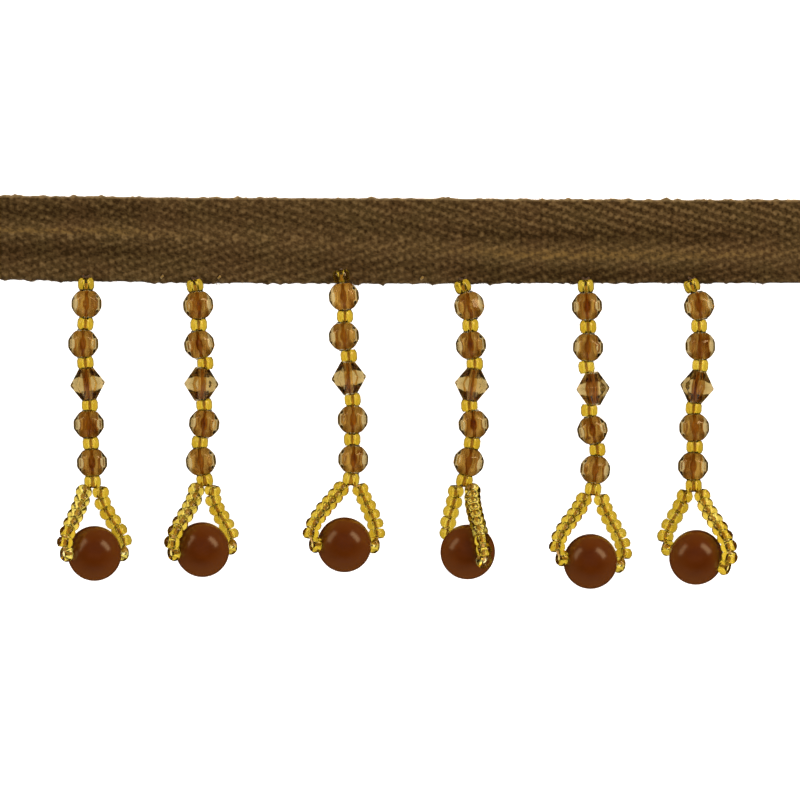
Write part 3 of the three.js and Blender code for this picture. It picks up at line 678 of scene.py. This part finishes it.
def bead_pieces(name, outline, beads, turns, glass):
    """Cut beads at places in the stems, each turned about its bore and stained on the wall of the bore. Keeps
    how near each point is to an end of the bead, and how much painted shade darkens it there."""
    centres, axes = stem[:, beads].reshape(-1, 3), stem_axis[:, beads].reshape(-1, 3)
    rings = strung(outline, centres, axes, CUT_SIDES, turns)
    rings[..., 2] = np.maximum(rings[..., 2], 0.0)
    mesh = ringed_mesh(name, rings, bored=True)
    down = outline[..., 1] / outline[..., 1].max()
    aside = np.abs(rings[..., 0] - centres[:, None, None, 0]) / outline[..., 0].max()
    # painted shade, towards the ends and out in the sides, more at the lower end
    corner_shade = np.where(down > 0, 1.0, UPPER_SHADE) * fade(np.abs(down), *SHADE_DOWN)
    point_values(mesh, "to_end", np.broadcast_to(np.abs(down), rings.shape[:3]))
    point_values(mesh, "painted_shade", corner_shade * fade(aside, *SHADE_ASIDE))
    piece = piece_of(mesh, glass)
    ring = np.arange(rings.shape[1])
    stained = (ring >= CUT_RINGS + MOUTH_RINGS - 1) & (ring < len(ring) - MOUTH_RINGS)
    partly_of(mesh, stain, np.tile(np.repeat(stained, CUT_SIDES), len(centres)))
    return piece


TOPAZ_CLEAR, TOPAZ_TINGED = 0xFFFFFF, 0xEAE2C6
TOPAZ_STREAK = 1.6, 4.0, 1.6


def topaz_glass(name, colour, density, roughness, corner_shade):
    """Smoky topaz glass: pale where it is thin and browner where light goes a long way through it, with faint
    streaks along the bore, and painted shade in the sides towards the ends, more at the lower end."""
    glass, tree, shader = material_of(name, roughness=roughness, ior=1.5, transmission_weight=1.0)
    at = add(tree, "TexCoord", {}).outputs["Object"]
    streak_at = add(tree, "Mapping", {"Vector": at, "Scale": [1 / (size * MM) for size in TOPAZ_STREAK]})
    streak = add(tree, "TexNoise", {"Vector": streak_at.outputs[0], "Scale": 1.0,
                                    "Detail": 1.0}).outputs["Fac"]
    tint = add(tree, "Mix", {0: streak, 6: linear(TOPAZ_CLEAR), 7: linear(TOPAZ_TINGED)},
               data_type="RGBA").outputs[2]
    # painted shade: the sides towards the ends are mixed towards the shade colour
    painted_shade = add(tree, "Attribute", {}, attribute_name="painted_shade").outputs["Fac"]
    tint = add(tree, "Mix", {0: painted_shade, 6: tint, 7: linear(corner_shade)}, data_type="RGBA").outputs[2]
    tree.links.new(tint, shader.inputs["Base Color"])
    depth = add(tree, "VolumeAbsorption", {"Color": linear(colour), "Density": density})
    tree.links.new(depth.outputs[0], tree.nodes["Material Output"].inputs["Volume"])
    return glass


# Clear brown stain fired onto the bore: it colours the light that comes through in streaks along the bore,
# evens out towards the ends, and hardly bends the light
STAIN_DARK, STAIN_PALE, STAIN_END = 0x8A5014, 0xFFE4A0, 0xB48C48
STAIN_STREAK = 0.7, 5.0, 0.7
stain, tree, shader = material_of("brown_bore_stain", roughness=0.2, ior=1.03, transmission_weight=1.0)
at = add(tree, "TexCoord", {}).outputs["Object"]
streak_at = add(tree, "Mapping", {"Vector": at, "Scale": [1 / (size * MM) for size in STAIN_STREAK]})
streak = add(tree, "TexNoise", {"Vector": streak_at.outputs[0], "Scale": 1.0, "Detail": 1.0}).outputs["Fac"]
streak = add(tree, "MapRange", {"Value": streak, "From Min": 0.36, "From Max": 0.64}).outputs[0]
brown = add(tree, "Mix", {0: streak, 6: linear(STAIN_DARK), 7: linear(STAIN_PALE)},
            data_type="RGBA").outputs[2]
to_end = add(tree, "Attribute", {}, attribute_name="to_end").outputs["Fac"]
to_end = add(tree, "MapRange", {"Value": to_end, "From Min": 0.2, "From Max": 0.8}).outputs[0]
brown = add(tree, "Mix", {0: to_end, 6: brown, 7: linear(STAIN_END)}, data_type="RGBA").outputs[2]
tree.links.new(brown, shader.inputs["Base Color"])

round_outline = cut_bead(ROUND_ROWS, ROUND_MELT, ROUND_HALF, ROUND_RECESS, ROUND_CORE, ROUND_CORE_END)
round_turns = chance.uniform(-ROUND_TURN, ROUND_TURN, drops * len(ROUNDS_OF_STEM)) + np.pi / ROUND_FACETS
round_glass = topaz_glass("smoky_topaz_glass", colour=0xD9C87F, density=430.0, roughness=0.1, corner_shade=0x86724E)
faceted_rounds = bead_pieces("faceted_rounds", round_outline, ROUNDS_OF_STEM, round_turns, round_glass)
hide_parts(*[f"drop{n}_round{k}" for n in range(1, 7) for k in range(1, 5)])

# Bicones
# One larger bicone in the middle of each stem, of a paler topaz glass, cut with six flat facets to each end.
# Its edges are left sharp.
BICONE_HALF, BICONE_RECESS, BICONE_CORE, BICONE_CORE_END = 3.1, 0.85, 0.75, 0.9
BICONE_MELT, BICONE_TURN = 200, 0.3
BICONE_ROWS = ((6, 30, 0, 2.44), (6, -30, 0, 2.44), (1, 90, 0, BICONE_HALF), (1, -90, 0, BICONE_HALF))
bicone_outline = cut_bead(
    BICONE_ROWS, BICONE_MELT, BICONE_HALF, BICONE_RECESS, BICONE_CORE, BICONE_CORE_END)
bicone_turns = chance.uniform(-BICONE_TURN, BICONE_TURN, drops) + np.pi / 2
bicone_glass = topaz_glass("pale_topaz_glass", colour=0xD4C05A, density=425.0, roughness=0.16, corner_shade=0xEAE2C6)
bicones = bead_pieces("bicones", bicone_outline, BICONE_OF_STEM, bicone_turns, bicone_glass)
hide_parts(*[f"drop{n}_bicone" for n in range(1, 7)])

# Balls
# A polished ball of reddish brown resin ends each drop, threaded crosswise on the loop of its two legs.
# It is moulded, drilled and tumbled to a gloss.
BALL_BORE, BALL_RINGS, BALL_SIDES = 0.62, 44, 72
BORE_NARROWING, BORE_LIP = 0.9, 0.12
edge_angle = np.arcsin(BALL_BORE / BALL_RADIUS)
polar = np.linspace(np.pi - edge_angle, edge_angle, BALL_RINGS)
ball_outline = np.stack([BALL_RADIUS * np.sin(polar), BALL_HALF_BORE * np.cos(polar)], axis=-1)
bore_end = BALL_HALF_BORE * np.cos(edge_angle) - BORE_LIP
ball_bore = np.array([(BALL_BORE * BORE_NARROWING, bore_end), (BALL_BORE * BORE_NARROWING, -bore_end)])
ball_outline = np.concatenate([ball_outline, ball_bore])[None, :, None]
ball_rings = strung(ball_outline, ball, bore, BALL_SIDES)
ball_rings[..., 2] = np.maximum(ball_rings[..., 2], 0.0)
ball_mesh = ringed_mesh("balls", ball_rings, bored=True)
from_upright = np.linalg.norm((ball_rings - ball[:, None, None])[..., :2], axis=-1)
point_values(ball_mesh, "from_middle", from_upright / BALL_RADIUS)

# Polished brown resin: deep and reddish under a hard gloss, with faint cloudy streaks. A glow is painted
# round the sides, lighter towards the rim, for the light from the table that comes through where the resin is
# thin
RESIN_DARK, RESIN_RED, RESIN_GLOW = 0x421900, 0x5A2800, 0x5C300C
RESIN_CLOUD, CLOUD_BUMP = (5.0, 2.2, 5.0), 0.1
resin, tree, shader = material_of("polished_brown_resin", roughness=0.22, ior=1.5, specular_ior_level=0.35)
at = add(tree, "TexCoord", {}).outputs["Object"]
cloud_at = add(tree, "Mapping", {"Vector": at, "Scale": [1 / (size * MM) for size in RESIN_CLOUD]})
cloud = add(tree, "TexNoise", {"Vector": cloud_at.outputs[0], "Scale": 1.0, "Detail": 3.0}).outputs["Fac"]
brown = add(tree, "Mix", {0: cloud, 6: linear(RESIN_DARK), 7: linear(RESIN_RED)},
            data_type="RGBA").outputs[2]
# painted light: the colour turns lighter towards the rim
thin = add(tree, "Attribute", {}, attribute_name="from_middle").outputs["Fac"]
thin = add(tree, "MapRange", {"Value": thin, "From Min": 0.35, "From Max": 1.0}).outputs[0]
brown = add(tree, "Mix", {0: thin, 6: brown, 7: linear(RESIN_GLOW)}, data_type="RGBA").outputs[2]
tree.links.new(brown, shader.inputs["Base Color"])
bump = add(tree, "Bump", {"Height": cloud, "Strength": 0.03, "Distance": CLOUD_BUMP * MM}).outputs[0]
tree.links.new(bump, shader.inputs["Normal"])
balls = piece_of(ball_mesh, resin)
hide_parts(*[f"drop{n}_ball" for n in range(1, 7)])

# Studio
# A white table that glows, as for small goods. Two warm soft lights stand low behind the fringe, at the left
# and the right, and show in its gloss; the light from above and from the front is even and white.
FLOOR_HALF, FLOOR_DROP = 2.0, 5e-5
CORNERS = (-1, -1), (1, -1), (1, 1), (-1, 1)
floor_points = [(FLOOR_HALF * side, FLOOR_HALF * ahead, -FLOOR_DROP) for side, ahead in CORNERS]
floor_mesh = bpy.data.meshes.new("floor")
floor_mesh.from_pydata(floor_points, [], [(0, 1, 2, 3)])
floor = bpy.data.objects.new("floor", floor_mesh)
bpy.context.scene.collection.objects.link(floor)
floor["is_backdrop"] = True
floor.visible_glossy = False
table = material_of("white_table", roughness=0.9, base_color=linear(0xF2F2F2),
                    emission_color=linear(0xFFFFFF), emission_strength=0.85)[0]
floor_mesh.materials.append(table)

# The room is brighter in front of the fringe than behind it, and dim overhead
ROOM_WHITE = (0.97, 0.97, 0.97, 1.0)
world = bpy.data.worlds.new("room")
bpy.context.scene.world = world
world.use_nodes = True
tree = world.node_tree
way = add(tree, "SeparateXYZ", {0: add(tree, "TexCoord", {}).outputs["Object"]}).outputs
glow = add(tree, "MapRange", {"Value": way["Y"], "From Min": -0.7, "From Max": 0.7,
                              "To Min": 0.95, "To Max": 0.45}).outputs[0]
dim = add(tree, "MapRange", {"Value": way["Z"], "From Min": 0.2, "From Max": 0.9,
                             "To Min": 1.0, "To Max": 0.15}).outputs[0]
glow = add(tree, "Math", {0: glow, 1: dim}, operation="MULTIPLY").outputs[0]
tree.links.new(glow, tree.nodes["Background"].inputs["Strength"])
tree.nodes["Background"].inputs["Color"].default_value = ROOM_WHITE
world.cycles_visibility.glossy = False

LIGHT_AWAY = 0.7
WARM, WHITE = (1.0, 0.68, 0.36), (1.0, 1.0, 1.0)
# name, direction from the fringe, direction of its long side, width, height, watts, colour, seen in gloss
LIGHTS = (
    ("left_light", (-0.82, 0.47, 0.34), (0.43, 0.71, 0.1), 0.55, 0.26, 1.6, WARM, True),
    ("right_light", (0.69, 0.5, 0.5), (0.6, -0.94, -0.25), 0.55, 0.26, 2.7, WARM, True),
    ("top_light", (0.0, 0.22, 1.0), (1.0, 0.0, 0.0), 1.0, 1.0, 4.4, WHITE, False),
    ("front_light", (0.0, -0.95, 0.35), (1.0, 0.0, 0.0), 0.9, 0.3, 1.8, WHITE, False),
)
for name, towards, long_side, wide, tall, watts, colour, in_gloss in LIGHTS:
    lamp = bpy.data.lights.new(name, "AREA")
    lamp.shape = "RECTANGLE"
    lamp.size = wide
    lamp.size_y = tall
    lamp.energy = watts
    lamp.color = colour
    light = bpy.data.objects.new(name, lamp)
    back_way = Vector(towards).normalized()
    across_way = Vector(long_side)
    across_way = (across_way - back_way * across_way.dot(back_way)).normalized()
    light.matrix_world = Matrix((across_way, back_way.cross(across_way), back_way)).transposed().to_4x4()
    light.location = back_way * LIGHT_AWAY
    light.visible_glossy = in_gloss
    light.visible_camera = False
    bpy.context.scene.collection.objects.link(light)

# The camera looks straight down; the picture's width is measured at the height of the beads' middles
PHOTO_WIDTH, PHOTO_MIDDLE_Y, WIDTH_HEIGHT = 145.45, -1.56, 3.0
CAMERA_UP, SENSOR_WIDTH = 2.0, 36.0
lens = bpy.data.cameras.new("camera")
lens.sensor_width = SENSOR_WIDTH
lens.lens = SENSOR_WIDTH * (CAMERA_UP / MM - WIDTH_HEIGHT) / PHOTO_WIDTH
camera = bpy.data.objects.new("camera", lens)
camera.location = (0.0, PHOTO_MIDDLE_Y * MM, CAMERA_UP)
bpy.context.scene.collection.objects.link(camera)
bpy.context.scene.camera = camera
bpy.context.scene.view_settings.view_transform = "Standard"

low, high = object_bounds()
